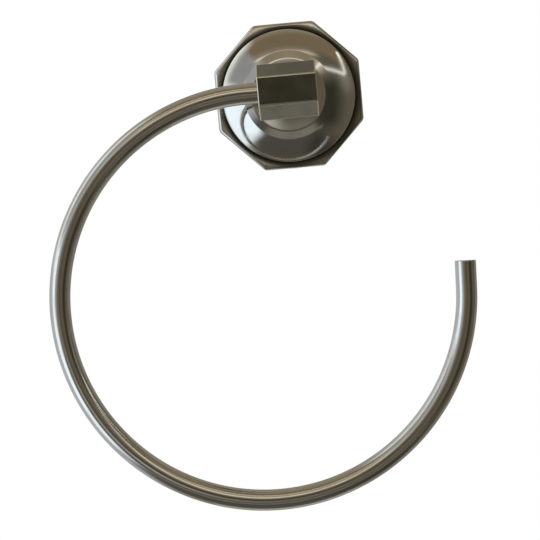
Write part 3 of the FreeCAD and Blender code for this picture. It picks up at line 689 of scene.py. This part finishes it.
# Hidden fittings keep their CAD solids and get their plating
for name, metal in [("clamp_screw", zincMetal), ("lock_washer", zincMetal), ("wall_bracket", zincMetal),
                    ("rod_grub_screw", blackMetal), ("bracket_grub_screw", blackMetal)]:
    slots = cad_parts[name].data.materials
    slots.clear()
    slots.append(metal)
print("fittings plated")

# Studio: a soft room for the metal to mirror, on a white ground
room = {
    "walls": (0.30, 0.28, 0.24, 1),
    "backdropFrom": 0.88,  # the y of a direction, where what the metal mirrors starts to turn white
    "backdropFull": 0.98,
    "panels": [
        # name, colour, the way to its middle, its upright, half width, half height and soft edge in degrees
        ("lowerShade", (0.10, 0.097, 0.085, 1), (0.1, -0.6, -0.8), (0, 1, 0), 60, 45, 16),
        ("lowerRight", (0.05, 0.05, 0.042, 1), (0.46, -0.37, -0.80), (0, 0, 1), 14, 14, 9),
        ("backTop", (0.40, 0.37, 0.31, 1), (0, 0.5, 0.87), (1, 0, 0), 12, 40, 10),
        ("upperWall", (0.36, 0.325, 0.26, 1), (0, -0.3, 1), (1, 0, 0), 30, 65, 14),
        ("upperFront", (0.33, 0.28, 0.20, 1), (0, -0.72, 0.70), (1, 0, 0), 10, 50, 5),
        ("upperGlow", (0.98, 0.88, 0.71, 1), (-0.1, -0.87, 0.49), (1, 0, 0.1), 6, 50, 5),
        ("upperStrip", (1.05, 0.97, 0.78, 1), (-0.05, -0.63, 0.775), (1, 0, 0.05), 2.2, 45, 1.6),
        ("rightWall", (0.15, 0.135, 0.10, 1), (0.95, -0.3, 0.1), (0, 0, 1), 32, 50, 14),
        ("upperShade", (0.25, 0.195, 0.125, 1), (0.08, -0.375, 0.93), (1, 0, 0), 11, 54, 5),
        ("rightUpper", (0.34, 0.325, 0.28, 1), (0.91, -0.36, 0.2), (0, 0, 1), 6, 8, 9),
        ("rightShade", (0.045, 0.044, 0.03, 1), (0.70, -0.70, -0.16), (0, 0, 1), 16, 26, 12),
        ("leftWall", (0.62, 0.67, 0.72, 1), (-1, 0.25, 0.0), (0, 0, 1), 50, 50, 14),
        ("leftTop", (1.25, 1.30, 1.28, 1), (-0.82, -0.01, 0.573), (0.574, 0, 0.819), 11, 24, 7),
        ("keyPanel", (1.33, 1.54, 1.76, 1), (-0.88, -0.45, -0.19), (0, 0.15, 1), 18, 29, 5),
        ("leftUpper", (0.40, 0.415, 0.43, 1), (-0.736, -0.438, 0.515), (0.574, 0, 0.819), 11, 15, 4),
        ("leftFront", (0.50, 0.53, 0.58, 1), (-0.606, -0.743, 0.283), (0.423, 0, 0.906), 9, 22, 5),
        ("lowerFront", (0.26, 0.25, 0.22, 1), (0, -0.78, -0.625), (1, 0, 0), 4, 32, 3),
        ("frontShade", (0.155, 0.132, 0.095, 1), (0.05, -1, -0.08), (0, 0, 1), 26, 23, 7),
        ("lowerStrip", (0.25, 0.245, 0.21, 1), (0, -0.966, -0.259), (1, 0, 0), 3, 12, 4),
        ("frontGlow", (0.62, 0.62, 0.58, 1), (-0.25, -1, -0.22), (0, 0, 1), 6, 6, 6),
        ("frontCore", (0.03, 0.033, 0.018, 1), (0.0, -1, 0.06), (0, 0, 1), 5, 5, 4),
        ("sideStrip", (1.75, 1.79, 1.75, 1), (0.733, -0.538, 0.417), (0.675, 0.654, -0.342), 1.2, 17, 1.2),
        ("sideStripEnd", (1.75, 1.79, 1.75, 1), (0.842, -0.256, 0.474), (-0.389, 0.319, 0.864), 1.2, 11, 1.2),
    ],
}
world = bpy.data.worlds.new("studioRoom")
bpy.context.scene.world = world
world.use_nodes = True
tree = world.node_tree
tree.nodes.clear()

softPanel, entry, leave = newGroup("softPanel", [
    ("Direction", "Vector", None), ("Facing", "Vector", (0, -1, 0)), ("Across", "Vector", (1, 0, 0)),
    ("Up", "Vector", (0, 0, 1)), ("Half width", "Float", 0.5), ("Half height", "Float", 0.5),
    ("Edge", "Float", 0.1)], [("Mask", "Float")])


def along(label):
    return addNode(softPanel, "ShaderNodeVectorMath", {"operation": "DOT_PRODUCT"},
                   i0=entry.outputs["Direction"], i1=entry.outputs[label]).outputs["Value"]


def stripMask(side, limit):  # angle off the middle line, in radians, faded out over the soft edge
    angle = mathNode(softPanel, "ABSOLUTE", mathNode(softPanel, "ARCTAN2", along(side), along("Facing")))
    inner = mathNode(softPanel, "SUBTRACT", entry.outputs[limit], entry.outputs["Edge"])
    outer = mathNode(softPanel, "ADD", entry.outputs[limit], entry.outputs["Edge"])
    return addNode(softPanel, "ShaderNodeMapRange", {"interpolation_type": "SMOOTHSTEP"},
                   i0=angle, i1=inner, i2=outer, i3=1.0, i4=0.0).outputs[0]


softPanel.links.new(mathNode(softPanel, "MULTIPLY", stripMask("Across", "Half width"),
                             stripMask("Up", "Half height")), leave.inputs["Mask"])
direction = addNode(tree, "ShaderNodeTexCoord").outputs["Generated"]
colour = addNode(tree, "ShaderNodeRGB").outputs[0]
colour.default_value = room["walls"]
for name, tone, facing, upright, halfWidth, halfHeight, edge in room["panels"]:
    facing = Vector(facing).normalized()
    across = Vector(upright).cross(facing).normalized()
    up = facing.cross(across).normalized()
    panel = placeGroup(tree, softPanel, **{
        "Direction": direction, "Facing": facing, "Across": across, "Up": up, "Edge": math.radians(edge),
        "Half width": math.radians(halfWidth), "Half height": math.radians(halfHeight)})
    panel.label = name
    colour = addNode(tree, "ShaderNodeMix", {"data_type": "RGBA"}, i0=panel.outputs[0], i6=colour,
                     i7=tone).outputs[2]
backdropAngle = addNode(tree, "ShaderNodeSeparateXYZ", i0=direction)
backdropMask = addNode(tree, "ShaderNodeMapRange", {"interpolation_type": "SMOOTHSTEP"},
                       i0=backdropAngle.outputs[1], i1=room["backdropFrom"],
                       i2=room["backdropFull"], i3=0.0, i4=1.0).outputs[0]
rays = addNode(tree, "ShaderNodeLightPath")
mirrored = mathNode(tree, "MULTIPLY", mathNode(tree, "ADD", rays.outputs["Is Glossy Ray"],
                                               rays.outputs["Is Transmission Ray"]), backdropMask)
whiteShare = mathNode(tree, "ADD", rays.outputs["Is Camera Ray"], mirrored, clamp=True)
shown = addNode(tree, "ShaderNodeMix", {"data_type": "RGBA"}, i0=whiteShare, i6=colour, i7=(1, 1, 1, 1))
background = addNode(tree, "ShaderNodeBackground", Color=shown.outputs[2], Strength=1.0)
output = addNode(tree, "ShaderNodeOutputWorld")
tree.links.new(background.outputs[0], output.inputs["Surface"])

ground = {
    "side": 1000.0,
    "drop": 1500.0,
    "back": 800.0,
    "colour": (0.70, 0.69, 0.67, 1),
    "roughness": 0.7,
}
floor = startPiece("floor", bpy.ops.mesh.primitive_plane_add, size=ground["side"] * mm,
                   location=(0, ground["back"] * mm, -ground["drop"] * mm))
floorPaint = bpy.data.materials.new("palePaint")
floorPaint.use_nodes = True
paintShader = floorPaint.node_tree.nodes["Principled BSDF"]
paintShader.inputs["Base Color"].default_value = ground["colour"]
paintShader.inputs["Roughness"].default_value = ground["roughness"]
floor.data.materials.append(floorPaint)

lamps = [
    # name, place in metres, power in watts, size in metres
    ("frontFill", (-0.5, -1.4, 0.35), 20.0, 1.0),
    ("backFill", (0.6, 1.3, 0.5), 14.0, 1.0),
]
for name, place, power, size in lamps:
    bpy.ops.object.light_add(type="AREA", location=place)
    lamp = bpy.context.active_object
    lamp.name = name
    lamp.data.energy = power
    lamp.data.size = size
    lamp.rotation_euler = (-Vector(place)).to_track_quat("-Z", "Y").to_euler()
    lamp.visible_glossy = False
print("studio made")
